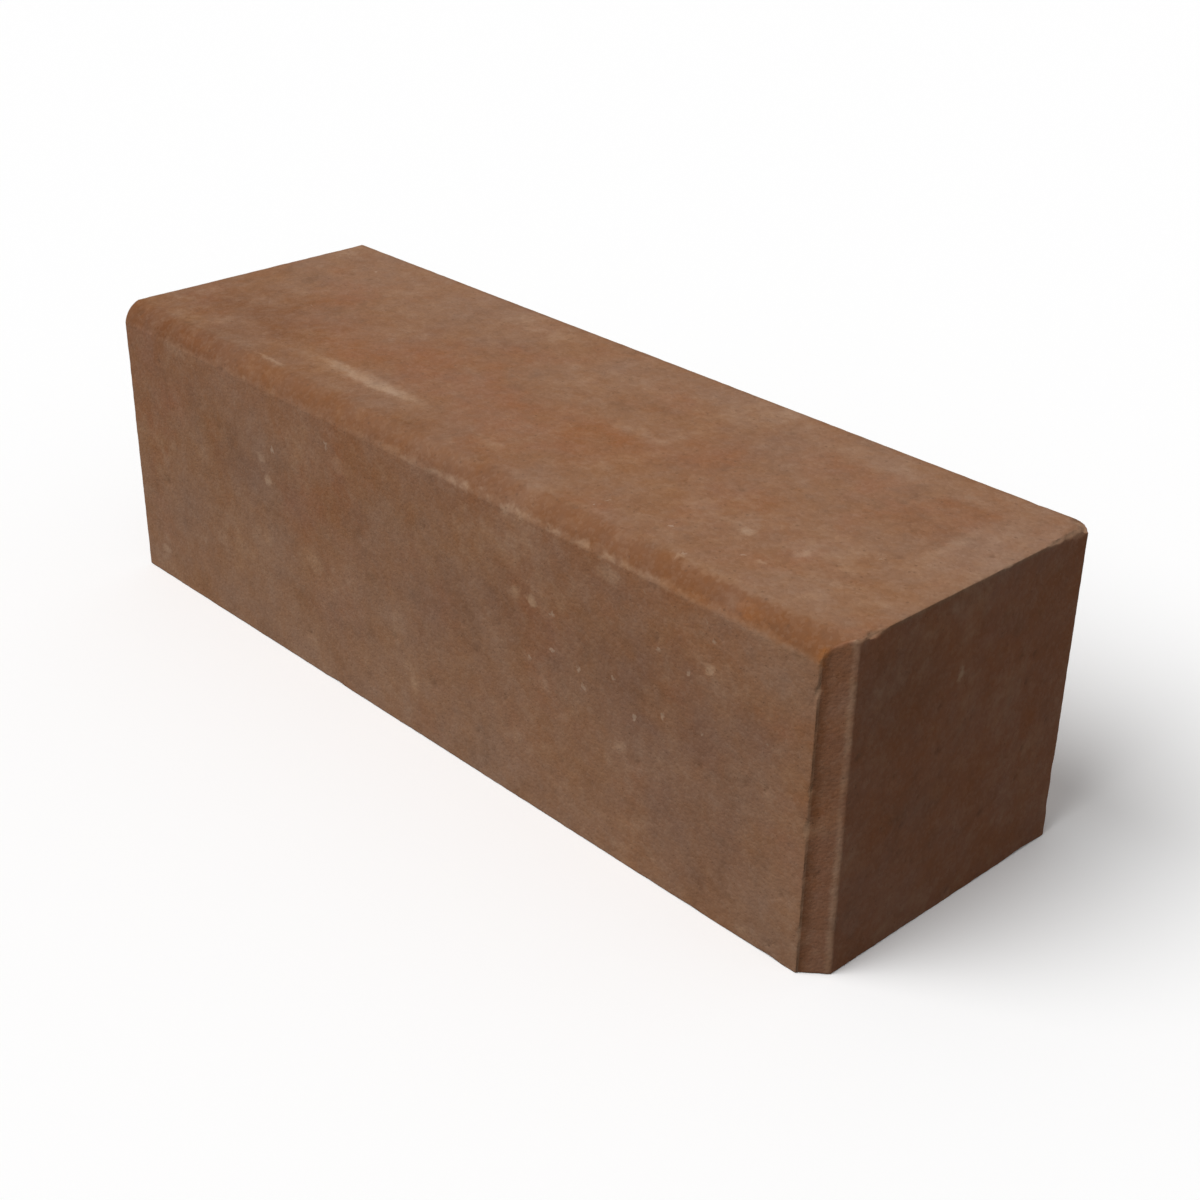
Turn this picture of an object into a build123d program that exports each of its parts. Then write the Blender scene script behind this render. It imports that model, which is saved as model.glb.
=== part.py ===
from build123d import *
import os

# A long block of pressed concrete, as laid in rows for paving and edging, in millimetres.
# The origin is the middle of the bed, +X runs along the length to the end with cut corners, +Z is up.

# The whole block
block_length = 300.0
block_width = 100.0
block_height = 93.0

# The bevel along each upper long edge: how far it reaches in, how far it drops, how much it bulges
bevel_run = 5.5
bevel_drop = 6.5
bevel_crown = 1.1

# The upright cut on the two corners of one end, along each face
corner_cut = 6.0


def cross_section():
    """The outline that the press gives the block across its length: a flat bed, upright sides, crowned bevels."""
    half_width = block_width / 2
    top_half_width = half_width - bevel_run
    shoulder_height = block_height - bevel_drop
    right_shoulder = (half_width, shoulder_height)
    right_top = (top_half_width, block_height)
    left_top = (-top_half_width, block_height)
    left_shoulder = (-half_width, shoulder_height)
    with BuildSketch(Plane.YZ) as section:
        with BuildLine():
            Polyline(left_shoulder, (-half_width, 0), (half_width, 0), right_shoulder)
            SagittaArc(right_shoulder, right_top, -bevel_crown)
            Line(right_top, left_top)
            SagittaArc(left_top, left_shoulder, -bevel_crown)
        make_face()
    return section.sketch


def plan_outline():
    """The block seen from above: square at one end, with both corners cut at the other."""
    with BuildSketch(Plane.XY) as plan:
        Rectangle(block_length, block_width)
        chamfer(plan.vertices().group_by(Axis.X)[-1], length=corner_cut)
    return plan.sketch


def concrete_block():
    """The section run along the length, kept where it lies inside the plan, so the cuts pass through the bevels."""
    bar = extrude(cross_section(), amount=block_length / 2, both=True)
    upright = extrude(plan_outline(), amount=block_height)
    return bar & upright


os.makedirs("parts", exist_ok=True)
export_step(concrete_block(), "parts/concrete_block.step")
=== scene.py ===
"""The looks of a long block of brown pressed concrete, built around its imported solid."""

import math

import bpy
import numpy as np
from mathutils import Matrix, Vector, noise


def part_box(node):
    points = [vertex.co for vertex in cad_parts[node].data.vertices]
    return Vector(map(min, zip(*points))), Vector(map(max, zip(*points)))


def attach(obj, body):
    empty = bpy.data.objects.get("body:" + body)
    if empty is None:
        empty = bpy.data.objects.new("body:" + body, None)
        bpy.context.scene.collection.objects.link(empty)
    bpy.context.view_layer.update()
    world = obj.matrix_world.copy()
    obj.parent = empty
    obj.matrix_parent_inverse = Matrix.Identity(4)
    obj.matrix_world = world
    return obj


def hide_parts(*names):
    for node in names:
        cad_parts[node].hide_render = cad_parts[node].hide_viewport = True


bl_info = {
    "name": "Concrete block",
    "version": (1, 0, 0),
    "blender": (4, 5, 0),
    "location": "View3D > Sidebar > Concrete block",
    "description": "Builds a weathered block of pressed concrete and the stage that it is shown on",
    "category": "Object",
}

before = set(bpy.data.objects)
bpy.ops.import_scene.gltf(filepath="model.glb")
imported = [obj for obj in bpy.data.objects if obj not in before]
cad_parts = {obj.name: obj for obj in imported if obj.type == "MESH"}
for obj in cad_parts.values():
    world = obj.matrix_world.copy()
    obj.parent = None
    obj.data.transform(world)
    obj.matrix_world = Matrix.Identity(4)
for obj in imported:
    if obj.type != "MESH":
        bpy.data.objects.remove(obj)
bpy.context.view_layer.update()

NODE = "concrete_block"
BODY = "root"
MM = 0.001

# The upper corner of the block's own box, whose origin is the middle of the bed
HALF_LENGTH, HALF_WIDTH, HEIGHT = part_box(NODE)[1]


# Sizes and colours that a user would change

def length(title, text, value):
    """A length property in metres, from a value in millimetres."""
    return bpy.props.FloatProperty(
        name=title, description=text, default=value * MM, min=0.0, precision=5, unit="LENGTH")


def colour(title, text, value):
    """A colour property in linear values."""
    return bpy.props.FloatVectorProperty(
        name=title, description=text, default=value, size=3, min=0.0, max=1.0, subtype="COLOR")


def factor(title, text, value, most=1.0):
    """A plain number property."""
    return bpy.props.FloatProperty(name=title, description=text, default=value, min=0.0, max=most)


def degrees(title, text, value):
    """An angle property, from a value in degrees."""
    return bpy.props.FloatProperty(
        name=title, description=text, default=math.radians(value), subtype="ANGLE")


def heading(title, text, value):
    """A direction property."""
    return bpy.props.FloatVectorProperty(
        name=title, description=text, default=value, size=3, subtype="DIRECTION")


def point(title, text, value):
    """A point property in metres."""
    return bpy.props.FloatVectorProperty(
        name=title, description=text, default=value, size=3, precision=4, subtype="XYZ", unit="LENGTH")


class BlockShape(bpy.types.PropertyGroup):
    """Sizes of the block's form and of the wear on it."""

    bevel_run: length("Bevel run", "How far each upper bevel reaches in from the side", 5.5)
    bevel_drop: length("Bevel drop", "How far each upper bevel drops from the top", 6.5)
    bevel_crown: length("Bevel crown", "How far the middle of a bevel bulges from flat", 1.1)
    corner_cut: length("Corner cut", "The cut on the upright corners of one end, along each face", 6.0)
    cut_lip: length("Cut lip", "The small step between each side and its corner cut", 0.7)
    spacing: length("Mesh spacing", "Distance between the lines of the mesh on the faces", 1.35)
    finest: length("Arris spacing", "Distance between the first lines beside an arris", 0.35)
    arris_wear: length("Arris wear", "Usual rounding of a worn arris", 0.35)
    crumble: length("Crumble", "Extra rounding where an arris has crumbled", 0.9)
    waviness: length("Waviness", "How far the faces sink in broad shallow waves", 0.12)
    sandiness: length("Sandiness", "Depth of the sandy unevenness of the faces", 0.15)
    pit_depth: length("Pit depth", "Depth of the largest pits in the faces", 0.6)


class BlockColours(bpy.types.PropertyGroup):
    """Colours of the concrete, as linear values."""

    brown: colour("Brown", "Most of the skin", (0.249, 0.124, 0.065))
    red: colour("Red brown", "Patches rich in pigment", (0.257, 0.110, 0.055))
    bevel: colour("Bevel", "The bevels, where the press brings the pigment up", (0.2055, 0.0885, 0.0398))
    # Grey brown also paints the light that makes the top paler toward the back
    grey: colour("Grey brown", "Patches where cement has bloomed", (0.272, 0.151, 0.092))
    slate: colour("Slate grey", "Cooler patches on the sides", (0.203, 0.107, 0.068))
    # Burnt brown also paints the shade in the step beside each corner cut
    burnt: colour("Burnt brown", "The darkest stretches of the bevels", (0.170, 0.067, 0.028))
    russet: colour("Russet", "The end with the cut corners", (0.264, 0.106, 0.056))
    pale: colour("Pale wear", "Rubbed skin and worn arrises", (0.430, 0.275, 0.175))
    sand: colour("Sand", "Pale grains and flecks", (0.480, 0.350, 0.255))
    # Dark grain also paints the shade in the pores, the pits and some of the darkest stains
    dark: colour("Dark grain", "Dark grains and pores", (0.130, 0.066, 0.037))
    rust: colour("Rust", "Orange spots of raw pigment", (0.340, 0.125, 0.035))


class BlockStage(bpy.types.PropertyGroup):
    """The light and the view."""

    key_strength: factor("Key strength", "Strength of the soft key light", 2.65, 10.0)
    back_strength: factor("Back strength", "Strength of the soft light on the far side", 1.1, 10.0)
    fill_strength: factor("Fill strength", "Strength of the even light from all round", 0.305, 10.0)
    floor_bounce: factor("Floor bounce", "How much light the floor throws back at the block", 0.15)
    key_softness: degrees("Key softness", "How wide the key light is", 50.0)
    back_softness: degrees("Back softness", "How wide the light on the far side is", 30.0)
    key_from: heading("Key from", "Direction that the key light comes from", (-0.232, -0.585, 0.777))
    back_from: heading("Back from", "Direction that the far light comes from", (-0.45, 0.88, 0.15))
    eye: point("Eye", "Where the camera stands", (0.37301, -0.33548, 0.29498))
    aim: point("Aim", "Point at the middle of the picture", (0.02054, 0.0, 0.03597))
    roll: degrees("Roll", "How far the camera leans", 0.964)
    lens: bpy.props.FloatProperty(
        name="Lens", description="Focal length of the camera", default=56.75, min=1.0, unit="CAMERA")


# The form of the block

# The most of the bevel's height that a corner cut may take
MOST_CUT_BEVEL = 0.97
# Lines of the mesh across a bevel and across a corner cut
BEVEL_ROWS = 8
CUT_COLUMNS = 8
# How fast the lines beside an arris spread out
LINE_GROWTH = 1.4
# The distance between the two lines at the top and the foot of the lip beside a corner cut
STEP_WIDTH = 0.08 * MM


class Form:
    """The sharp form of the block: its section, its corner cuts and the distance of a point from it."""

    def __init__(self, shape):
        self.cut = shape.corner_cut
        self.lip = shape.cut_lip
        self.cut_start = HALF_LENGTH - self.cut
        self.shoulder = HEIGHT - shape.bevel_drop
        chord = math.hypot(shape.bevel_run, shape.bevel_drop)
        self.radius = (chord ** 2 / 4 + shape.bevel_crown ** 2) / (2 * shape.bevel_crown)
        back = (self.radius - shape.bevel_crown) / chord
        self.centre_y = HALF_WIDTH - shape.bevel_run / 2 - back * shape.bevel_drop
        self.centre_z = HEIGHT - shape.bevel_drop / 2 - back * shape.bevel_run
        self.low_angle = math.atan2(self.shoulder - self.centre_z, HALF_WIDTH - self.centre_y)
        top_y = HALF_WIDTH - shape.bevel_run
        self.high_angle = math.atan2(HEIGHT - self.centre_z, top_y - self.centre_y)

    def half_width(self, x):
        """Half of the block's width at x, less in the corner cuts."""
        past = x - self.cut_start
        cut_in = self.lip + past * (self.cut - self.lip) / self.cut
        return np.where(past > 0, HALF_WIDTH - cut_in, HALF_WIDTH)

    def bevel_point(self, share):
        """Half width and height on the bevel, from 0 at the shoulder to 1 at the top."""
        angle = self.low_angle + share * (self.high_angle - self.low_angle)
        return self.centre_y + self.radius * np.cos(angle), self.centre_z + self.radius * np.sin(angle)

    def bevel_start(self, x):
        """Where the side, or the corner cut, leaves the bevel at x, as a share of the bevel."""
        across = np.clip((self.half_width(x) - self.centre_y) / self.radius, -1, 1)
        share = (np.arccos(across) - self.low_angle) / (self.high_angle - self.low_angle)
        return np.clip(share, 0, MOST_CUT_BEVEL)

    def walls(self, points):
        """How far points lie outside the section, the corner cuts, both ends and the bed."""
        x = points[:, 0]
        side = np.abs(points[:, 1])
        z = points[:, 2]
        angle = np.arctan2(z - self.centre_z, side - self.centre_y)
        angle = np.clip(angle, self.low_angle, self.high_angle)
        bevel = (side - self.centre_y) * np.cos(angle) + (z - self.centre_z) * np.sin(angle) - self.radius
        section = np.maximum(np.maximum(z - HEIGHT, side - HALF_WIDTH), bevel)
        slope = math.hypot(self.cut - self.lip, self.cut)
        past = x - self.cut_start
        cut = past * (self.cut - self.lip) + (side - HALF_WIDTH + self.lip) * self.cut
        cut = np.minimum(cut / slope, past)
        return np.stack([section, cut, x - HALF_LENGTH, -x - HALF_LENGTH, -z])

    def distance(self, points, rounding):
        """How far points lie outside the block, whose arrises are rounded by the given radii."""
        over = self.walls(points) + rounding
        return np.minimum(over.max(0), 0) + np.sqrt((np.maximum(over, 0) ** 2).sum(0)) - rounding


def graded_lines(whole, spacing, finest):
    """Places along a length, close together near both ends and even between them."""
    ends = [0.0]
    step = finest
    while step < spacing:
        ends.append(ends[-1] + step)
        step *= LINE_GROWTH
    count = max(1, round((whole - 2 * ends[-1]) / spacing))
    middle = np.linspace(ends[-1], whole - ends[-1], count + 1)
    ends = np.array(ends[:-1])
    return np.concatenate([ends, middle, whole - ends[::-1]])


def block_lattice(form, shape):
    """Points on the sharp form and the quads between them, as a box of lines that follow its arrises."""
    plain = graded_lines(HALF_LENGTH + form.cut_start, shape.spacing, shape.finest) - HALF_LENGTH
    in_cut = np.linspace(form.cut_start, HALF_LENGTH, CUT_COLUMNS + 1)
    in_cut[0] += STEP_WIDTH
    stations = np.concatenate([plain, in_cut])
    columns = graded_lines(2 * HALF_WIDTH, shape.spacing, shape.finest) / HALF_WIDTH - 1
    side_rows = graded_lines(form.shoulder, shape.spacing, shape.finest) / form.shoulder
    bevel_rows = np.linspace(0, 1, BEVEL_ROWS + 1)[1:]

    counts = (len(stations), len(columns), len(side_rows) + BEVEL_ROWS)
    number = np.zeros(counts, int)
    for axis in range(3):
        for end in (0, -1):
            number.swapaxes(0, axis)[end] = 1
    i, j, k = np.nonzero(number)
    number[i, j, k] = np.arange(len(i))

    x = stations[i]
    start = form.bevel_start(x)
    widest, start_height = form.bevel_point(start)
    widest_left = form.half_width(x)
    on_side = k < len(side_rows)
    up_side = np.where(on_side, side_rows[np.minimum(k, len(side_rows) - 1)], 1.0)
    up_bevel = np.where(on_side, 0.0, bevel_rows[np.maximum(k - len(side_rows), 0)])
    bevel_y, bevel_z = form.bevel_point(start + (1 - start) * up_bevel)
    half = np.where(on_side, widest_left, bevel_y * np.minimum(1, widest_left / widest))
    height = np.where(on_side, up_side * start_height, bevel_z)
    points = np.stack([x, half * columns[j], height], 1)

    quads = [
        sheet(number[-1]), sheet(number[0])[:, ::-1],
        sheet(number[:, 0]), sheet(number[:, -1])[:, ::-1],
        sheet(number[:, :, -1]), sheet(number[:, :, 0])[:, ::-1],
    ]
    return points, np.concatenate(quads)


def sheet(number):
    """The quads of one side of the lattice, from the numbers of its points."""
    corners = [number[:-1, :-1], number[1:, :-1], number[1:, 1:], number[:-1, 1:]]
    return np.stack(corners, -1).reshape(-1, 4)


# Waves of the noise that roughens the block, and how far apart the noises of two seeds lie
FINE_WAVE = 2.6 * MM
SAND_WAVE = 4.7 * MM
MEDIUM_WAVE = 8 * MM
BROAD_WAVE = 27 * MM
FACE_WAVE = 55 * MM
SEED_STEP = (7.3, 3.1, 5.7)
# How far the noise is spread about the middle of 0 to 1
NOISE_SPREAD = 0.62


def noise_at(points, wavelength, seed):
    """Smooth noise from 0 to 1 at the points."""
    start = Vector([seed * step for step in SEED_STEP])
    found = [noise.noise(Vector(p) / wavelength + start) for p in points]
    return np.clip(0.5 + NOISE_SPREAD * np.array(found), 0, 1)


def ease(values, low, high):
    """A smooth step from 0 at low to 1 at high."""
    share = np.clip((values - low) / (high - low), 0, 1)
    return share * share * (3 - 2 * share)


# Chips that have come off the arrises: a point on the arris, and the radius and depth of the bite, in mm
CHIPS = (
    ((150, -43.6, 93), 4.0, 0.6),
    ((150, -38.0, 93), 10.0, 0.9),
    ((150, -14.0, 93), 6.0, 0.4),
    ((150, 11.0, 93), 9.0, 0.35),
    ((150, 31.5, 93), 16.0, 0.7),
    ((150, 39.5, 93), 18.0, 1.5),
    ((149, 44.0, 92.5), 10.0, 1.2),
    ((144, -50.0, 12.0), 5.0, 0.4),
    ((144, -50.0, 27.0), 4.0, 0.35),
    ((144, -50.0, 42.0), 5.0, 0.45),
    ((144, -50.0, 53.0), 3.5, 0.35),
    ((144, -50.0, 62.0), 4.0, 0.4),
    ((144, -50.0, 79.0), 4.0, 0.45),
    ((-150, 50.0, 38.0), 12.0, 0.6),
    ((-150, 50.0, 46.0), 9.0, 0.4),
    ((62, 50.0, 0), 13.0, 0.9),
    ((71, 50.0, 0), 9.0, 0.5),
    ((-88, 50.0, 0), 10.0, 0.7),
    ((-150, 18.0, 0), 12.0, 0.7),
    ((-150, 10.5, 0), 8.0, 0.5),
)
# How ragged the fine and the medium noise make a chip, and how far round it the mesh is spread
CHIP_FINE = 1.2 * MM
CHIP_MEDIUM = 0.9 * MM
CHIP_RIM = 0.8 * MM
# An arris's least wear, and what the medium and the fine noise add, as shares of the usual wear
LEAST_WEAR = 0.4
MEDIUM_WEAR = 0.7
FINE_WEAR = 0.5
# The broad noise's share in where the arrises crumble, and the range of noise over which they do
CRUMBLE_BROAD = 0.6
CRUMBLE_RANGE = (0.56, 0.85)
# The fine noise's share in the sandy unevenness
SAND_FINE = 0.6
# Pits: how many, from which seed, their radii in mm, the shallowest as a share of the deepest, the flat
# share of a pit's floor, and how far from an arris they start and are whole
PIT_COUNT = 260
PIT_SEED = 41
PIT_RADIUS = (0.9, 2.3)
SHALLOWEST_PIT = 0.3
PIT_FLOOR = 0.15
PIT_MARGIN = (0.3 * MM, 1.5 * MM)
# How the points are moved to the worn surface
SLOPE_STEP = 0.02 * MM
LEAST_SLOPE = 0.2
SETTLE_ROUNDS = 5
SPREAD_ROUNDS = 8
SPREAD_SHARE = 0.5
TINY = 1e-6
# Faces that meet at more than this are shaded with a sharp edge
SHARP_ANGLE = math.radians(50)


def chip_balls(form):
    """The centre and radius of the ball that bites out each chip."""
    balls = []
    for place, radius, depth in CHIPS:
        place = np.array(place) * MM
        outward = np.array([
            form.distance((place + s)[None], 0.0)[0] - form.distance((place - s)[None], 0.0)[0]
            for s in np.eye(3) * MM])
        outward /= np.linalg.norm(outward)
        balls.append((place + outward * (radius - depth) * MM, radius * MM))
    return balls


def middle_of_neighbours(points, quads):
    """The mean of the points that each point shares an edge with."""
    total = np.zeros_like(points)
    count = np.zeros((len(points), 1))
    for corner in range(4):
        for beside in (corner - 1, corner - 3):
            np.add.at(total, quads[:, corner], points[quads[:, beside]])
            np.add.at(count, quads[:, corner], 1)
    return total / count


def weathered(points, quads, form, shape):
    """The points moved in to a worn surface, with how far each was worn and how deep it lies in a pit."""
    fine = noise_at(points, FINE_WAVE, 1)
    medium = noise_at(points, MEDIUM_WAVE, 2)
    broad = noise_at(points, BROAD_WAVE, 3)
    rounding = shape.arris_wear * (LEAST_WEAR + MEDIUM_WEAR * medium + FINE_WEAR * fine)
    crumbling = CRUMBLE_BROAD * broad + (1 - CRUMBLE_BROAD) * medium
    rounding += shape.crumble * ease(crumbling, *CRUMBLE_RANGE)
    balls = chip_balls(form)
    ragged = (fine - 0.5) * CHIP_FINE + (medium - 0.5) * CHIP_MEDIUM

    def bitten(at):
        """How deep points lie in the nearest chip's ball."""
        return np.max([radius - np.linalg.norm(at - centre, axis=1) for centre, radius in balls], axis=0)

    def outside(at):
        """How far points lie outside the worn block."""
        return np.maximum(form.distance(at, rounding), bitten(at) + ragged)

    def slopes(at):
        """Which way, and how fast, points leave the worn block."""
        steps = np.eye(3) * SLOPE_STEP
        return np.stack([outside(at + s) - outside(at - s) for s in steps], 1) / (2 * SLOPE_STEP)

    def settle(at, least):
        """Points moved to the worn surface, those under it by no more than least."""
        slope = slopes(at)
        size = np.maximum((slope ** 2).sum(1), LEAST_SLOPE)
        return at - slope * (np.maximum(outside(at), least) / size)[:, None]

    worn = points.copy()
    for _ in range(SETTLE_ROUNDS):
        worn = settle(worn, 0.0)
    worn_by = np.linalg.norm(worn - points, axis=1)

    # Points in and round the chips, but not at the lips, are spread evenly, so that faces don't fold over
    off_lip = np.abs(points[:, 0] - form.cut_start) > CHIP_RIM
    loose = ease(bitten(points), -CHIP_RIM, CHIP_RIM) * off_lip
    least = np.where(loose > 0, -CHIP_RIM, 0.0)
    for _ in range(SPREAD_ROUNDS):
        worn += SPREAD_SHARE * loose[:, None] * (middle_of_neighbours(worn, quads) - worn)
        worn = settle(worn, least)

    normal = slopes(worn)
    normal /= np.maximum(np.linalg.norm(normal, axis=1), TINY)[:, None]
    sand = SAND_FINE * fine + (1 - SAND_FINE) * noise_at(points, SAND_WAVE, 5)
    sink = shape.waviness * noise_at(points, FACE_WAVE, 4) + shape.sandiness * sand
    from_arris = -np.sort(form.walls(points), axis=0)[-2]
    pits = pit_depths(worn, shape) * ease(from_arris, *PIT_MARGIN)
    worn -= normal * (sink + pits)[:, None]
    return worn, worn_by, pits


def pit_depths(points, shape):
    """How deep each point lies in one of the scattered pits."""
    random = np.random.default_rng(PIT_SEED)
    smallest, largest = PIT_RADIUS
    places = points[random.choice(len(points), PIT_COUNT, replace=False)]
    radii = smallest + (largest - smallest) * random.random(PIT_COUNT) ** 2
    depths = shape.pit_depth * (SHALLOWEST_PIT + (1 - SHALLOWEST_PIT) * random.random(PIT_COUNT))
    found = np.zeros(len(points))
    for place, radius, depth in zip(places, radii * MM, depths):
        away = np.linalg.norm(points - place, axis=1) / radius
        found = np.maximum(found, depth * (1 - ease(away, PIT_FLOOR, 1.0)))
    return found


def block_mesh(shape):
    """The weathered block as a mesh, with its wear and pits as attributes."""
    form = Form(shape)
    points, quads = block_lattice(form, shape)
    worn, worn_by, pits = weathered(points, quads, form, shape)
    mesh = bpy.data.meshes.new("concrete_block_skin")
    mesh.from_pydata(worn.tolist(), [], quads.tolist())
    for title, values in (("worn", worn_by / MM), ("pitted", pits / shape.pit_depth)):
        layer = mesh.attributes.new(title, "FLOAT", "POINT")
        layer.data.foreach_set("value", values.astype(np.float32))
    mesh.shade_smooth()
    mesh.set_sharp_from_angle(angle=SHARP_ANGLE)
    return mesh


# Shader nodes

def add_node(tree, kind, *inputs, **settings):
    """A node with its settings. Its inputs are taken in order: a socket is linked, None is left alone."""
    made = tree.nodes.new(kind)
    for name, value in settings.items():
        setattr(made, name, value)
    sockets = [s for s in made.inputs if s.enabled and not s.is_unavailable]
    for socket, value in zip(sockets, inputs):
        if value is None:
            continue
        if isinstance(value, bpy.types.NodeSocket):
            tree.links.new(value, socket)
        else:
            socket.default_value = value
    return made


def output(made):
    """A node's first output that is in use."""
    return next(s for s in made.outputs if s.enabled and not s.is_unavailable)


def sum_of(tree, operation, *inputs):
    """A Math node."""
    return add_node(tree, "ShaderNodeMath", *inputs, operation=operation).outputs[0]


def vector_of(tree, operation, *inputs):
    """A Vector Math node."""
    return output(add_node(tree, "ShaderNodeVectorMath", *inputs, operation=operation))


def smooth_step(tree, value, low, high, start=0.0, end=1.0):
    """A value eased from start at low to end at high."""
    made = add_node(
        tree, "ShaderNodeMapRange", value, low, high, start, end, interpolation_type="SMOOTHSTEP")
    return made.outputs[0]


def blend(tree, share, first, second):
    """A colour between two others."""
    first = first if isinstance(first, bpy.types.NodeSocket) else (*first, 1.0)
    second = second if isinstance(second, bpy.types.NodeSocket) else (*second, 1.0)
    return output(add_node(tree, "ShaderNodeMix", share, first, second, data_type="RGBA"))


def noise_value(tree, place, size, detail, roughness=0.55):
    """Noise whose broadest waves have the given size in millimetres, or a socket that gives one over it."""
    scale = size if isinstance(size, bpy.types.NodeSocket) else 1 / size
    return add_node(tree, "ShaderNodeTexNoise", place, scale, detail, roughness).outputs[0]


# Fineness of the noise that pushes places about
PUSH_DETAIL = 2.0
PUSH_ROUGHNESS = 0.6


def moved_about(tree, place, size, reach):
    """Places pushed about at random by up to about half the reach, in waves of the given size, in mm."""
    waves = add_node(tree, "ShaderNodeTexNoise", place, 1 / size, PUSH_DETAIL, PUSH_ROUGHNESS)
    push = vector_of(tree, "SUBTRACT", waves.outputs["Color"], (0.5, 0.5, 0.5))
    return vector_of(tree, "MULTIPLY_ADD", push, (reach, reach, reach), place)


def new_group(title, inputs, outputs):
    """A shader node group with named sockets, the sockets that it is given and those that it gives."""
    group = bpy.data.node_groups.new(title, "ShaderNodeTree")
    for name, kind in inputs:
        group.interface.new_socket(name=name, in_out="INPUT", socket_type=kind)
    for name, kind in outputs:
        group.interface.new_socket(name=name, in_out="OUTPUT", socket_type=kind)
    given = group.nodes.new("NodeGroupInput").outputs
    result = group.nodes.new("NodeGroupOutput").inputs
    return group, given, result


NUMBER = "NodeSocketFloat"
VECTOR = "NodeSocketVector"
CLOUD_DETAIL = 2.0
# How far a grain's rounded top reaches from its middle, in grains
GRAIN_REACH = 0.75
# A speck's rim as a height on its grain, what bulk takes off it, how soft it is, and the weakest speck
SPECK_RIM = 0.75
SPECK_BULK = 0.45
SPECK_SOFTNESS = 0.4
WEAKEST_SPECK = 0.4
# The even middle of a soft spot, as a share of its reach
SPOT_CORE = 0.2


def patches_group():
    """Soft cloudy patches: a mask that is 1 in the patches."""
    inputs = (("Place", VECTOR), ("Size", NUMBER), ("Low", NUMBER), ("High", NUMBER), ("Seed", NUMBER))
    tree, given, result = new_group("cloudy patches", inputs, (("Mask", NUMBER),))
    place = vector_of(tree, "ADD", given["Place"], given["Seed"])
    cloud = noise_value(tree, place, sum_of(tree, "DIVIDE", 1.0, given["Size"]), CLOUD_DETAIL)
    tree.links.new(smooth_step(tree, cloud, given["Low"], given["High"]), result["Mask"])
    return tree


def grains_group():
    """Grains packed side by side: a random tone and bulk for each, and its rounded height."""
    inputs = (("Place", VECTOR), ("Size", NUMBER))
    outputs = (("Tone", NUMBER), ("Height", NUMBER), ("Bulk", NUMBER))
    tree, given, result = new_group("packed grains", inputs, outputs)
    scale = sum_of(tree, "DIVIDE", 1.0, given["Size"])
    cells = add_node(tree, "ShaderNodeTexVoronoi", given["Place"], scale)
    picks = add_node(tree, "ShaderNodeSeparateColor", cells.outputs["Color"]).outputs
    tree.links.new(picks[0], result["Tone"])
    tree.links.new(picks[1], result["Bulk"])
    tree.links.new(smooth_step(tree, cells.outputs["Distance"], GRAIN_REACH, 0.0), result["Height"])
    return tree


def specks_group():
    """A few scattered specks: a mask of those among the grains that show."""
    inputs = (("Tone", NUMBER), ("Height", NUMBER), ("Bulk", NUMBER), ("Share", NUMBER))
    tree, given, result = new_group("scattered specks", inputs, (("Mask", NUMBER),))
    shown = sum_of(tree, "LESS_THAN", given["Tone"], given["Share"])
    rim = sum_of(tree, "MULTIPLY_ADD", given["Bulk"], -SPECK_BULK, SPECK_RIM)
    disc = smooth_step(tree, given["Height"], rim, sum_of(tree, "ADD", rim, SPECK_SOFTNESS))
    strength = sum_of(tree, "MULTIPLY_ADD", given["Bulk"], 1 - WEAKEST_SPECK, WEAKEST_SPECK)
    speck = sum_of(tree, "MULTIPLY", disc, strength)
    tree.links.new(sum_of(tree, "MULTIPLY", shown, speck), result["Mask"])
    return tree


def band_group():
    """A soft band round one place on a coordinate, broken up by a cover."""
    inputs = (("Coordinate", NUMBER), ("Middle", NUMBER), ("Half Width", NUMBER), ("Cover", NUMBER))
    tree, given, result = new_group("rubbed band", inputs, (("Mask", NUMBER),))
    away = sum_of(tree, "ABSOLUTE", sum_of(tree, "SUBTRACT", given["Coordinate"], given["Middle"]))
    near = smooth_step(tree, away, given["Half Width"], 0.0)
    tree.links.new(sum_of(tree, "MULTIPLY", near, given["Cover"]), result["Mask"])
    return tree


def spot_group():
    """A soft ellipse round a place."""
    inputs = (("Place", VECTOR), ("Middle", VECTOR), ("Reach", VECTOR))
    tree, given, result = new_group("soft spot", inputs, (("Mask", NUMBER),))
    apart = vector_of(tree, "SUBTRACT", given["Place"], given["Middle"])
    apart = vector_of(tree, "DIVIDE", apart, given["Reach"])
    away = add_node(tree, "ShaderNodeVectorMath", apart, operation="LENGTH").outputs["Value"]
    tree.links.new(smooth_step(tree, away, 1.0, SPOT_CORE), result["Mask"])
    return tree


def use_group(tree, group, *inputs):
    """Places a node group in a material and gives its outputs."""
    made = tree.nodes.new("ShaderNodeGroup")
    made.node_tree = group
    for socket, value in zip(made.inputs, inputs):
        if isinstance(value, bpy.types.NodeSocket):
            tree.links.new(value, socket)
        else:
            socket.default_value = value
    return made.outputs
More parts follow.
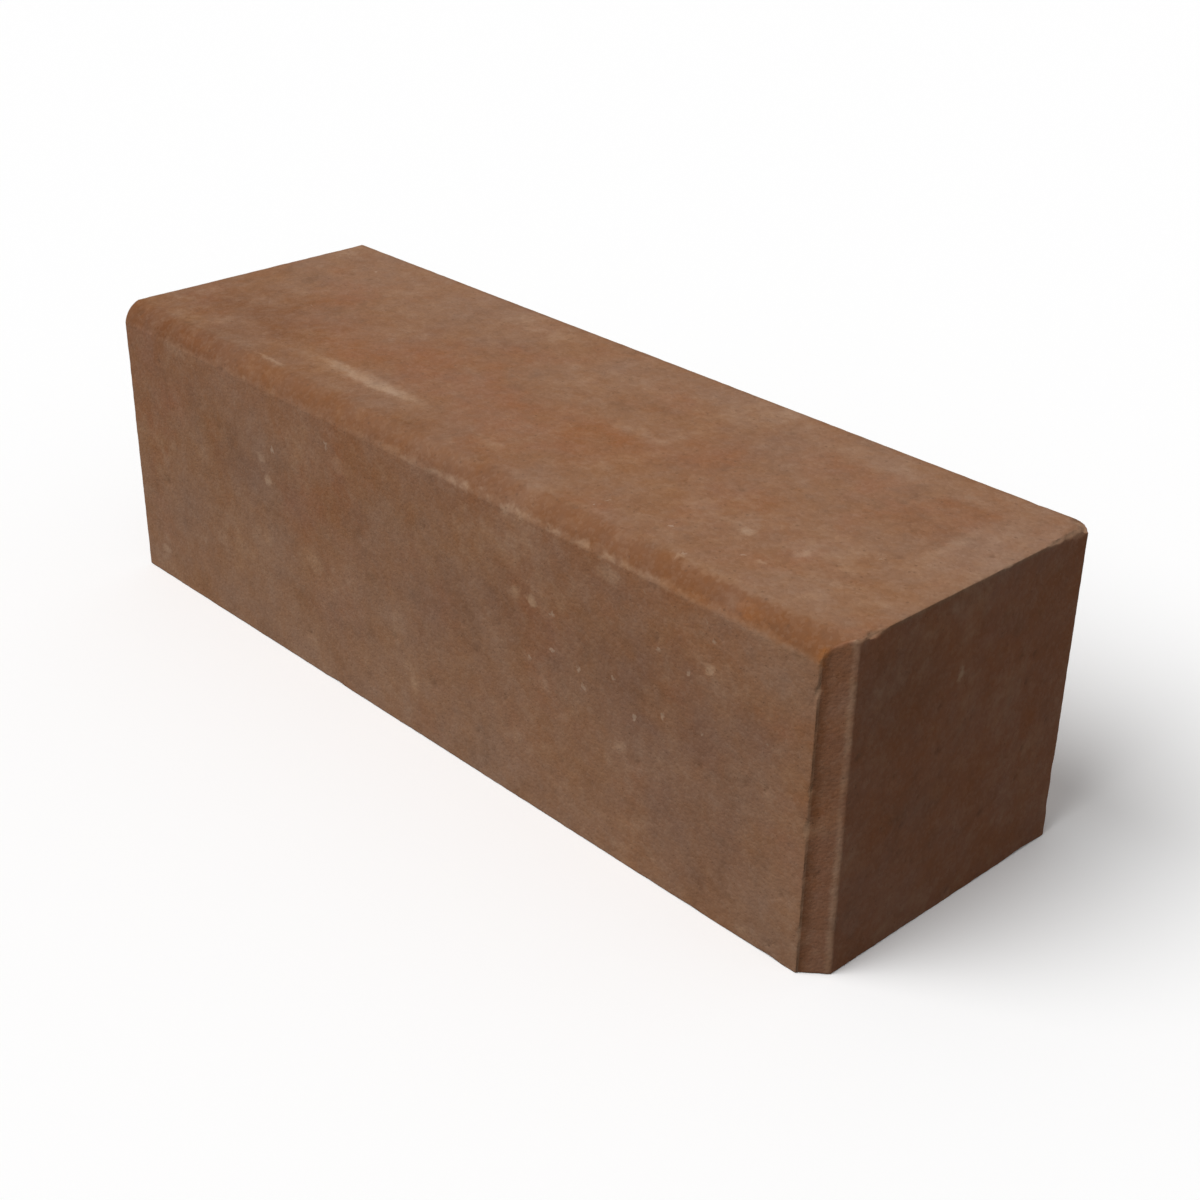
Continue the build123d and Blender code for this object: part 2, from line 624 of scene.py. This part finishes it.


# Stains, rubbed marks and some painted shade, in mm: the middle, the reach and the strength of each
UMBER_STAINS = (
    ((-116, -22, 93), (50, 32, 16), 1.00),
    ((-76, -39, 93), (34, 9, 12), 0.45),
    ((-8, -39, 93), (48, 10, 12), 0.60),
    ((-58, 50, 60), (60, 20, 36), 0.35),
    ((-150, 12, 40), (20, 40, 30), 0.35),
)
RED_STAINS = (
    ((-82, -12, 93), (34, 18, 14), 0.85),
    ((-42, -4, 93), (34, 26, 14), 0.80),
    ((-6, -20, 93), (44, 22, 14), 0.90),
    ((26, -14, 93), (38, 20, 14), 0.80),
    ((56, 2, 93), (28, 24, 14), 0.70),
    ((84, -12, 93), (26, 18, 14), 0.55),
    ((124, 22, 93), (20, 18, 14), 0.60),
    ((90, 26, 93), (24, 10, 14), 0.50),
    ((-35, -50, 56), (30, 20, 18), 0.25),
    ((44, -50, 30), (22, 20, 13), 0.28),
    ((-131, -50, 67), (24, 20, 20), 0.35),
    ((-55, -50, 74), (16, 20, 9), 0.40),
    ((30, 50, 66), (44, 20, 20), 0.55),
    ((-110, 50, 24), (34, 20, 20), 0.45),
)
SLATE_STAINS = (
    ((-82, -50, 57), (26, 20, 18), 0.55),
    ((20, -50, 48), (28, 20, 15), 0.40),
    ((52, -50, 58), (36, 20, 22), 0.70),
    ((98, -50, 54), (46, 20, 28), 0.95),
    ((104, -50, 24), (42, 20, 26), 0.70),
    ((74, -50, 82), (20, 20, 9), 0.50),
    ((-54, 12, 93), (18, 18, 20), 0.50),
    ((62, 20, 93), (18, 18, 20), 0.50),
    ((-128, 36, 93), (24, 14, 20), 0.50),
    ((-40, 50, 52), (44, 20, 24), 0.60),
    ((88, 50, 30), (40, 20, 22), 0.70),
    ((-150, -16, 58), (20, 30, 24), 0.50),
)
PALE_STAINS = (
    ((138, 12, 93), (9, 46, 14), 0.70),
    ((148, 0, 93), (9, 60, 14), 0.65),
    ((100, 35, 93), (62, 6, 14), 0.80),
    ((108, -38, 93), (58, 14, 14), 0.32),
    ((112, -22, 93), (34, 18, 14), 0.18),
    ((-100, 45, 93), (50, 7, 14), 0.60),
    ((-30, -50, 40), (80, 20, 22), 0.42),
    ((-42, -50, 10), (74, 20, 18), 0.40),
    ((136, -50, 80), (20, 20, 15), 0.75),
    ((26, -50, 9), (26, 20, 14), 0.65),
    ((-122, 36, 93), (17, 9, 14), 0.70),
    ((-9, 34, 93), (14, 8, 14), 0.50),
)
DARK_STAINS_AND_SHADE = (
    ((150, -27, 73), (20, 24, 25), 0.22),
    # Painted shade: the top darker toward its front left, against the painted light toward its back
    ((-128, -30, 93), (38, 24, 16), 0.10),
    ((-106, -43, 92), (40, 9, 7), 0.20),
    ((-148, -6, 93), (10, 28, 8), 0.10),
    # Painted shade: the foot of the front darker by the end, where the block meets the floor
    ((138, -50, 4), (26, 20, 14), 0.26),
    ((150, -8, 91), (6, 32, 6), 0.16),
)
DARK_BEVEL = (
    ((-122, -48, 90), (40, 16, 14), 0.90),
    ((112, -48, 90), (44, 14, 12), 0.22),
    ((-60, 48, 90), (50, 14, 12), 0.70),
)
SCUFFS = (
    ((-46, -31.4, 93), (36, 5.2, 6), 0.34),
    ((-60, -30.6, 93), (13, 3.0, 6), 0.42),
    ((-43, -32.2, 93), (20, 2.6, 6), 0.50),
    ((-32, -31.0, 93), (14, 3.4, 6), 0.40),
    ((-78, -43, 93), (11, 1.3, 6), 0.45),
    ((134, 9, 93), (3.0, 20, 6), 0.22),
    ((96, -22, 93), (3.4, 3.0, 6), 0.50),
    ((113, -21, 93), (2.4, 4.0, 6), 0.40),
    ((109, -32, 93), (2.0, 1.8, 6), 0.40),
    ((94, -44, 93), (2.2, 1.8, 6), 0.40),
    ((112, -44.0, 93), (38, 2.2, 4), 0.20),
    ((-4, -46.5, 91.6), (34, 4, 4), 0.08),
    ((126, -50, 86.4), (20, 3, 2.8), 0.16),
    ((-73, -50, 57), (2.8, 6, 2.6), 0.60),
    ((-76, -50, 64), (3.4, 6, 2.0), 0.35),
    ((47, -50, 64), (2.4, 6, 2.0), 0.60),
    ((40, -50, 64), (2.8, 6, 2.2), 0.35),
    ((111, -50, 71), (2.6, 6, 2.4), 0.60),
    ((76, -50, 83), (7.0, 6, 3.4), 0.35),
    ((81, -50, 35), (3.4, 6, 2.6), 0.38),
    ((-138, -50, 10), (4.4, 6, 1.8), 0.45),
    ((-4, -50, 16), (3.0, 6, 3.4), 0.30),
    ((-51, -50, 38), (6.0, 6, 4.5), 0.28),
    ((150, -4, 69), (6, 1.3, 3.2), 0.75),
    ((22, 50, 60), (9, 6, 2.6), 0.40),
    ((-96, 50, 34), (3.4, 6, 2.8), 0.50),
    ((72, 50, 22), (12, 6, 2.2), 0.30),
    ((-28, 50, 71), (3.0, 6, 2.4), 0.45),
    ((-150, 23, 62), (6, 7, 2.4), 0.40),
    ((-150, -24, 26), (6, 2.8, 4.4), 0.40),
)
# Where the flecks are thickest: the middle, the reach and the share of stones that show
FLECKED = (
    ((80, -44, 70), (64, 46, 50), 0.055),
    ((-64, 50, 48), (80, 24, 46), 0.035),
    ((-150, -8, 52), (20, 52, 42), 0.03),
)
RUST_SPOTS = (
    ((143.6, -49.5, 88.5), (2.2, 3, 4.5), 0.55),
    ((121, -48, 90), (5, 4, 3), 0.40),
    ((-112, -48, 90), (13, 4, 3), 0.14),
    ((114, -49.6, 87.8), (32, 3, 1.8), 0.18),
)
# Where the bevel's lower edge is rubbed most: the middle and the reach
RUBBED_EDGE = ((44, -50, 88), (90, 20, 16))
# Elsewhere it is rubbed a little, which eases in between these two places along the block
RUBBED_FROM = (-105.0, -65.0)
RUBBED_LITTLE = 0.4

# The block's faces, in mm
END = HALF_LENGTH / MM
SIDE = HALF_WIDTH / MM
TOP = HEIGHT / MM

# How far in from a face its mask starts and is whole, in mm
TOP_FRINGE = (2.5, 1.0)
SIDE_FRINGE = (2.0, 1.0)
END_FRINGE = (1.5, 0.6)
CUT_FRINGE = (0.9, 0.5)
# How far under the top the end's own colour starts and is whole, in mm
END_UNDER_TOP = (0.4, 1.8)
# How far the bevel's colour frays to each side of its upper edge, and above its lower edge, in mm
BEVEL_FRAY = 2.6
SHOULDER_FRAY = (-0.2, 2.2)

# How strongly cement has bloomed in patches, on the top and on the sides
TOP_BLOOM = 0.4
SIDE_BLOOM = 0.7
# Where the top is painted paler toward its back as painted light, and where cement has bloomed more evenly
# down the sides, in mm
BACK_PAINTED_LIGHT = (-20.0, 42.0)
LOW_BLOOM = (60.0, 10.0)
# Where the pigment thickens under the bevels, up the sides, in mm
UNDER_BEVEL = (64.0, 86.0)

# Lines along the edges, in mm: how far from its edge each has its middle, and its half width
RUBBED_LINE = (0.9, 1.9)
# The painted shade in the step beside each corner cut
STEP_SHADE_LINE = (0.4, 1.9)
CUT_RIM = (-0.7, 1.1)

# Grains, in mm, and the shares of stones and of sand grains that show as flecks and as pores everywhere
SAND_SIZE = 0.95
STONE_SIZE = 2.6
FLECK_SHARE = 0.0015
PORE_SHARE = 0.06

# Shifts that keep two noises apart, in mm
CLOUD_SHIFT = (71.0, 13.0, 37.0)
DRIFT_SHIFT = (17.0, 59.0, 83.0)

# Bump of the sand and the pores beside the fine noise, the height of the whole, and the sheen
SAND_BUMP = 0.45
PORE_BUMP = -0.8
BUMP_STRENGTH = 0.5
BUMP_HEIGHT = 0.2 * MM
SPECULAR = 0.1
LEAST_ROUGHNESS = 0.80
ROUGHNESS_RANGE = 0.16


def any_spot(tree, group, place, spots):
    """The strongest of several soft spots."""
    found = None
    for middle, reach, strength in spots:
        mask = use_group(tree, group, place, middle, reach)[0]
        mask = sum_of(tree, "MULTIPLY", mask, strength)
        found = mask if found is None else sum_of(tree, "MAXIMUM", found, mask)
    return found


def attribute_value(tree, title):
    """A value that the mesh carries."""
    made = tree.nodes.new("ShaderNodeAttribute")
    made.attribute_name = title
    return made.outputs["Fac"]


def empty_material(title):
    """A new material without nodes, and its tree."""
    made = bpy.data.materials.new(title)
    made.use_nodes = True
    made.node_tree.nodes.clear()
    return made, made.node_tree


def surface(tree, shader):
    """Makes a shader the material's surface."""
    end = tree.nodes.new("ShaderNodeOutputMaterial")
    tree.links.new(shader.outputs[0], end.inputs["Surface"])


class ConcreteSkin:
    """The concrete's colour, laid on in layers, with the places and masks that the layers share."""

    def __init__(self, tree, colours, shape):
        self.tree = tree
        self.colours = colours
        self.patches = patches_group()
        self.grains = grains_group()
        self.specks = specks_group()
        self.band = band_group()
        self.spot = spot_group()
        self.find_places()
        self.find_faces(shape)

    def step(self, value, low, high, start=0.0, end=1.0):
        """A value eased from start at low to end at high."""
        return smooth_step(self.tree, value, low, high, start, end)

    def product(self, *masks):
        """Several masks multiplied."""
        found = masks[0]
        for mask in masks[1:]:
            found = sum_of(self.tree, "MULTIPLY", found, mask)
        return found

    def at_least(self, mask, least):
        """A mask that runs from least to 1."""
        return sum_of(self.tree, "MULTIPLY_ADD", mask, 1 - least, least)

    def without(self, mask, share=1.0):
        """1 outside a mask, and less by a share inside it."""
        return sum_of(self.tree, "MULTIPLY_ADD", mask, -share, 1.0)

    def noise(self, size, detail, roughness, shift=(0.0, 0.0, 0.0)):
        """Noise on the block, whose broadest waves have the given size in mm."""
        place = vector_of(self.tree, "ADD", self.place, shift)
        return noise_value(self.tree, place, size, detail, roughness)

    def patchy(self, size, low, high, seed):
        """A mask of cloudy patches."""
        return use_group(self.tree, self.patches, self.place, size, low, high, seed)[0]

    def line(self, coordinate, edge, measures, cover):
        """A mask of a line beside an edge."""
        offset, half_width = measures
        return use_group(self.tree, self.band, coordinate, edge + offset, half_width, cover)[0]

    def spots(self, place, spots):
        """A mask of the strongest of several soft spots."""
        return any_spot(self.tree, self.spot, place, spots)

    def tint(self, mask, tint, strength=1.0):
        """Lays a tint on the skin where a mask shows."""
        self.colour = blend(self.tree, self.product(mask, strength), self.colour, tint)

    def parts_of(self, place):
        """The three coordinates of a place."""
        return add_node(self.tree, "ShaderNodeSeparateXYZ", place).outputs

    def find_places(self):
        """Places on the block in mm, as they are and pushed about."""
        coordinates = self.tree.nodes.new("ShaderNodeTexCoord").outputs["Object"]
        scaled = add_node(self.tree, "ShaderNodeVectorMath", coordinates, operation="SCALE")
        scaled.inputs["Scale"].default_value = 1 / MM
        self.place = scaled.outputs[0]
        self.along, self.across, self.up = self.parts_of(self.place)
        self.drifted = moved_about(self.tree, self.place, size=24.0, reach=34.0)
        self.jittered = moved_about(self.tree, self.place, size=3.6, reach=3.6)
        self.crumbly = moved_about(self.tree, self.jittered, size=1.5, reach=2.4)
        ragged = moved_about(self.tree, self.place, size=3.0, reach=1.3)
        self.ragged_along = self.parts_of(ragged)[0]

    def find_faces(self, shape):
        """Masks of the top, the sides, the end with the cut corners, the corner cuts and the bevels."""
        side = sum_of(self.tree, "ABSOLUTE", self.across)
        self.on_top = self.step(self.up, *(TOP - inset for inset in TOP_FRINGE))
        self.on_side = self.step(side, *(SIDE - inset for inset in SIDE_FRINGE))
        on_end = self.step(self.along, *(END - inset for inset in END_FRINGE))
        under_top = self.step(self.up, *(TOP - inset for inset in END_UNDER_TOP))
        self.on_end = self.product(on_end, under_top)

        self.cut_start = END - shape.corner_cut / MM
        cut_slope = 1 - shape.cut_lip / shape.corner_cut
        cut_level = self.cut_start * cut_slope + SIDE - shape.cut_lip / MM
        level = sum_of(self.tree, "MULTIPLY_ADD", self.along, cut_slope, side)
        on_cut = self.step(level, *(cut_level - inset for inset in CUT_FRINGE))
        past_start = sum_of(self.tree, "GREATER_THAN", self.along, self.cut_start)
        self.on_cut = self.product(on_cut, past_start)

        self.shoulder = TOP - shape.bevel_drop / MM
        inner = SIDE - shape.bevel_run / MM
        _, frayed_across, self.frayed_up = self.parts_of(self.jittered)
        frayed_side = sum_of(self.tree, "ABSOLUTE", frayed_across)
        past_inner = self.step(frayed_side, inner - BEVEL_FRAY, inner + BEVEL_FRAY)
        over_shoulder = self.step(self.frayed_up, *(self.shoulder + rise for rise in SHOULDER_FRAY))
        self.on_bevel = self.product(past_inner, over_shoulder, self.without(self.on_cut))

    def lay_patches(self):
        """The bare skin: patches rich in pigment and in cement, stains, and painted light that makes the
        top paler toward the back.
        """
        colours = self.colours
        pigment = self.noise(size=30.0, detail=3.0, roughness=0.75)
        self.colour = blend(self.tree, self.step(pigment, low=0.46, high=0.78), colours.brown, colours.red)
        cement = self.step(pigment, low=0.54, high=0.28)
        bloomed = sum_of(self.tree, "MULTIPLY_ADD", self.on_top, TOP_BLOOM - SIDE_BLOOM, SIDE_BLOOM)
        self.tint(self.product(cement, bloomed), colours.grey)
        # Painted light: the top is tinted paler toward its back
        painted_light_to_back = self.product(self.step(self.across, *BACK_PAINTED_LIGHT), self.on_top)
        self.tint(painted_light_to_back, colours.grey, strength=0.35)
        self.tint(self.step(self.up, *LOW_BLOOM), colours.grey, strength=0.55)
        under_bevel = self.product(self.step(self.up, *UNDER_BEVEL), self.on_side)
        self.tint(under_bevel, colours.red, strength=0.35)
        blotchy = self.at_least(self.patchy(size=13.0, low=0.35, high=0.65, seed=53.0), 0.4)
        stains = (
            (SLATE_STAINS, colours.slate), (RED_STAINS, colours.red), (UMBER_STAINS, colours.bevel))
        for spots, tint in stains:
            self.tint(self.spots(self.drifted, spots), tint, strength=blotchy)
        self.tint(self.spots(self.jittered, PALE_STAINS), colours.grey)

    def lay_end(self):
        """The end with the cut corners, tinted darker and redder, and the darkest stains, some of them
        painted shade.
        """
        self.tint(self.on_end, self.colours.russet, strength=0.7)
        self.tint(self.spots(self.jittered, DARK_STAINS_AND_SHADE), self.colours.dark)

    def lay_bevels(self):
        """Darker, redder bevels up to the corner cuts, with a thin rubbed line along the lower edge."""
        colours = self.colours
        self.tint(self.on_bevel, colours.bevel, strength=0.92)
        self.tint(self.spots(self.jittered, DARK_BEVEL), colours.burnt, strength=self.on_bevel)
        rubbed = self.patchy(size=46.0, low=0.42, high=0.64, seed=19.0)
        rubbed = self.product(rubbed, self.step(self.along, *RUBBED_FROM, end=RUBBED_LITTLE))
        rubbed_most = use_group(self.tree, self.spot, self.place, *RUBBED_EDGE)[0]
        rubbed = sum_of(self.tree, "MAXIMUM", rubbed, rubbed_most)
        broken = self.at_least(self.patchy(size=4.5, low=0.40, high=0.60, seed=31.0), 0.2)
        low_line = self.line(self.frayed_up, self.shoulder, RUBBED_LINE, self.product(rubbed, broken))
        self.tint(self.product(low_line, self.on_side), colours.pale, strength=0.52)

    def lay_cuts(self):
        """Corner cuts with painted shade in the step beside them, and a rim that is rubbed in patches."""
        colours = self.colours
        self.tint(self.on_cut, colours.russet, strength=0.45)
        # Painted shade: a darker line in the step beside the corner cut
        step_shade = self.line(self.ragged_along, self.cut_start, STEP_SHADE_LINE, self.on_cut)
        self.tint(step_shade, colours.burnt, strength=0.75)
        rubbed = self.product(self.on_cut, self.patchy(size=24.0, low=0.36, high=0.56, seed=7.0))
        self.tint(self.line(self.ragged_along, END, CUT_RIM, rubbed), colours.pale, strength=0.50)

    def lay_marks(self):
        """Pale scuffs and spots of rust."""
        for middle, reach, strength in SCUFFS:
            scuff = use_group(self.tree, self.spot, self.crumbly, middle, reach)[0]
            self.tint(scuff, self.colours.pale, strength)
        self.tint(self.spots(self.jittered, RUST_SPOTS), self.colours.rust)

    def lay_sand(self):
        """Light and dark clouds, a finer mottle, sand grains, flecks of stone, and pores darkened as
        painted shade.
        """
        colours = self.colours
        cloud = self.noise(size=34.0, detail=4.0, roughness=0.88, shift=CLOUD_SHIFT)
        bloom = self.product(self.step(cloud, low=0.50, high=0.78), self.without(self.on_bevel, 0.6))
        self.tint(bloom, colours.pale, strength=0.38)
        self.tint(self.step(cloud, low=0.50, high=0.22), colours.dark, strength=0.46)
        mottle = self.noise(size=5.5, detail=1.0, roughness=0.6)
        self.tint(self.step(mottle, low=0.50, high=0.80), colours.pale, strength=0.10)
        self.tint(self.step(mottle, low=0.50, high=0.20), colours.dark, strength=0.14)
        sand = use_group(self.tree, self.grains, self.place, SAND_SIZE)
        self.tint(self.step(sand["Tone"], low=0.5, high=1.0), colours.sand, strength=0.06)
        self.tint(self.step(sand["Tone"], low=0.5, high=0.0), colours.dark, strength=0.12)
        stones = use_group(self.tree, self.grains, self.crumbly, STONE_SIZE)
        share = sum_of(self.tree, "ADD", self.spots(self.place, FLECKED), FLECK_SHARE)
        flecks = use_group(self.tree, self.specks, *stones, share)[0]
        flecks = self.product(flecks, self.without(self.on_bevel))
        self.tint(flecks, colours.sand, strength=0.42)
        self.pores = use_group(self.tree, self.specks, *sand, PORE_SHARE)[0]
        # Painted shade: the pores, which the bump sinks, are darkened
        self.tint(self.pores, colours.dark, strength=0.45)
        self.sand_height = sand["Height"]

    def lay_wear(self):
        """Pigment that is not quite even, paler worn arrises, and pits darkened with their depth as painted
        shade.
        """
        colours = self.colours
        drift = self.noise(size=28.0, detail=4.0, roughness=0.8, shift=DRIFT_SHIFT)
        richness = self.step(drift, low=0.2, high=0.8, start=0.91, end=1.09)
        drifted = add_node(self.tree, "ShaderNodeHueSaturation", None, richness, None, None, self.colour)
        self.colour = drifted.outputs[0]
        worn = attribute_value(self.tree, "worn")
        self.tint(self.step(worn, low=0.05, high=0.45), colours.pale, strength=0.20)
        self.tint(self.step(worn, low=0.5, high=1.1), colours.pale, strength=0.26)
        pitted = attribute_value(self.tree, "pitted")
        # Painted shade: the pits are darkened with their depth
        self.tint(self.step(pitted, low=0.1, high=0.8), colours.dark, strength=0.35)


def concrete_material(colours, shape):
    """Brown pressed concrete: mottled skin, sand grains, pores, rubbed marks and worn arrises."""
    made, tree = empty_material("brown pressed concrete")
    skin = ConcreteSkin(tree, colours, shape)
    skin.lay_patches()
    skin.lay_end()
    skin.lay_bevels()
    skin.lay_cuts()
    skin.lay_marks()
    skin.lay_sand()
    skin.lay_wear()

    # Fine relief
    fine = skin.noise(size=0.9, detail=2.0, roughness=0.6)
    relief = sum_of(tree, "MULTIPLY_ADD", skin.sand_height, SAND_BUMP, fine)
    relief = sum_of(tree, "MULTIPLY_ADD", skin.pores, PORE_BUMP, relief)
    bump = tree.nodes.new("ShaderNodeBump")
    bump.inputs["Strength"].default_value = BUMP_STRENGTH
    bump.inputs["Distance"].default_value = BUMP_HEIGHT
    tree.links.new(relief, bump.inputs["Height"])
    roughness = sum_of(tree, "MULTIPLY_ADD", fine, ROUGHNESS_RANGE, LEAST_ROUGHNESS)

    shader = tree.nodes.new("ShaderNodeBsdfPrincipled")
    shader.inputs["Specular IOR Level"].default_value = SPECULAR
    tree.links.new(skin.colour, shader.inputs["Base Color"])
    tree.links.new(roughness, shader.inputs["Roughness"])
    tree.links.new(bump.outputs[0], shader.inputs["Normal"])
    surface(tree, shader)
    return made


# The stage

FLOOR_REACH = 30.0
FLOOR_WHITE = 0.98


def seen_directly(tree):
    """1 for rays from the camera, a mirror or glass, which see the plain white stage."""
    rays = tree.nodes.new("ShaderNodeLightPath").outputs
    seen = sum_of(tree, "MAXIMUM", rays["Is Camera Ray"], rays["Is Glossy Ray"])
    return sum_of(tree, "MAXIMUM", seen, rays["Is Transmission Ray"])


def floor_material(bounce):
    """White to the eye, with the block's shadow on it, and dimmer to the light that it throws back."""
    made, tree = empty_material("white studio floor")
    shade = add_node(tree, "ShaderNodeMix", seen_directly(tree), bounce, FLOOR_WHITE, data_type="FLOAT")
    shader = tree.nodes.new("ShaderNodeBsdfPrincipled")
    shader.inputs["Roughness"].default_value = 1.0
    shader.inputs["Specular IOR Level"].default_value = 0.0
    tree.links.new(output(shade), shader.inputs["Base Color"])
    surface(tree, shader)
    return made


def fill_world(strength):
    """An even white sky that is dim as a light and plain white to the eye."""
    world = bpy.data.worlds.new("white studio")
    world.use_nodes = True
    tree = world.node_tree
    tree.nodes.clear()
    level = add_node(tree, "ShaderNodeMix", seen_directly(tree), strength, 1.0, data_type="FLOAT")
    sky = add_node(tree, "ShaderNodeBackground", (1.0, 1.0, 1.0, 1.0), output(level))
    end = tree.nodes.new("ShaderNodeOutputWorld")
    tree.links.new(sky.outputs[0], end.inputs["Surface"])
    return world


# Operators and the panel

def place_in_scene(title, data):
    """A new object in the scene."""
    made = bpy.data.objects.new(title, data)
    bpy.context.scene.collection.objects.link(made)
    return made


def soft_light(title, strength, width, direction):
    """A wide distant lamp that shines from a direction."""
    lamp = bpy.data.lights.new(title, "SUN")
    lamp.energy = strength
    lamp.angle = width
    lamp = place_in_scene(title, lamp)
    lamp.rotation_euler = (-Vector(direction)).to_track_quat("-Z", "Y").to_euler()
    return lamp


class BuildBlock(bpy.types.Operator):
    """Build the weathered concrete block over its solid"""

    bl_idname = "concrete_block.build_block"
    bl_label = "Concrete block"

    def execute(self, context):
        shape = context.scene.block_shape
        skin = place_in_scene("concrete_block_skin", block_mesh(shape))
        skin.data.materials.append(concrete_material(context.scene.block_colours, shape))
        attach(skin, BODY)
        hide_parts(NODE)
        return {"FINISHED"}


class BuildStage(bpy.types.Operator):
    """Build the floor, the light and the camera"""

    bl_idname = "concrete_block.build_stage"
    bl_label = "Stage"

    def execute(self, context):
        scene = context.scene
        stage = scene.block_stage
        scene.view_settings.view_transform = "Standard"
        scene.world = fill_world(stage.fill_strength)

        floor = bpy.data.meshes.new("floor")
        reach = FLOOR_REACH
        corners = [(-reach, -reach, 0), (reach, -reach, 0), (reach, reach, 0), (-reach, reach, 0)]
        floor.from_pydata(corners, [], [(0, 1, 2, 3)])
        floor.materials.append(floor_material(stage.floor_bounce))
        place_in_scene("floor", floor)

        soft_light("key", stage.key_strength, stage.key_softness, stage.key_from)
        back = soft_light("back", stage.back_strength, stage.back_softness, stage.back_from)
        back.data.use_shadow = False
        back.visible_glossy = False

        camera = bpy.data.cameras.new("camera")
        camera.lens = stage.lens
        camera = place_in_scene("camera", camera)
        camera.location = stage.eye
        looking = Vector(stage.aim) - Vector(stage.eye)
        camera.rotation_euler = looking.to_track_quat("-Z", "Y").to_euler()
        camera.rotation_euler.rotate_axis("Z", stage.roll)
        scene.camera = camera
        return {"FINISHED"}


class BlockPanel(bpy.types.Panel):
    """Lists the pieces and their settings"""

    bl_idname = "VIEW3D_PT_concrete_block"
    bl_label = "Concrete block"
    bl_space_type = "VIEW_3D"
    bl_region_type = "UI"
    bl_category = "Concrete block"

    def draw(self, context):
        scene = context.scene
        groups = (
            (BuildBlock, (scene.block_shape, scene.block_colours)),
            (BuildStage, (scene.block_stage,)),
        )
        for operator, settings in groups:
            self.layout.operator(operator.bl_idname)
            for group in settings:
                column = self.layout.column()
                for name in group.__annotations__:
                    column.prop(group, name)


SETTINGS = (("block_shape", BlockShape), ("block_colours", BlockColours), ("block_stage", BlockStage))
CLASSES = (BlockShape, BlockColours, BlockStage, BuildBlock, BuildStage, BlockPanel)


def register():
    for made in CLASSES:
        bpy.utils.register_class(made)
    for name, group in SETTINGS:
        setattr(bpy.types.Scene, name, bpy.props.PointerProperty(type=group))


def unregister():
    for name, _ in SETTINGS:
        delattr(bpy.types.Scene, name)
    for made in reversed(CLASSES):
        bpy.utils.unregister_class(made)


def main():
    """Builds everything."""
    register()
    bpy.ops.concrete_block.build_block()
    bpy.ops.concrete_block.build_stage()


if __name__ == "__main__":
    main()
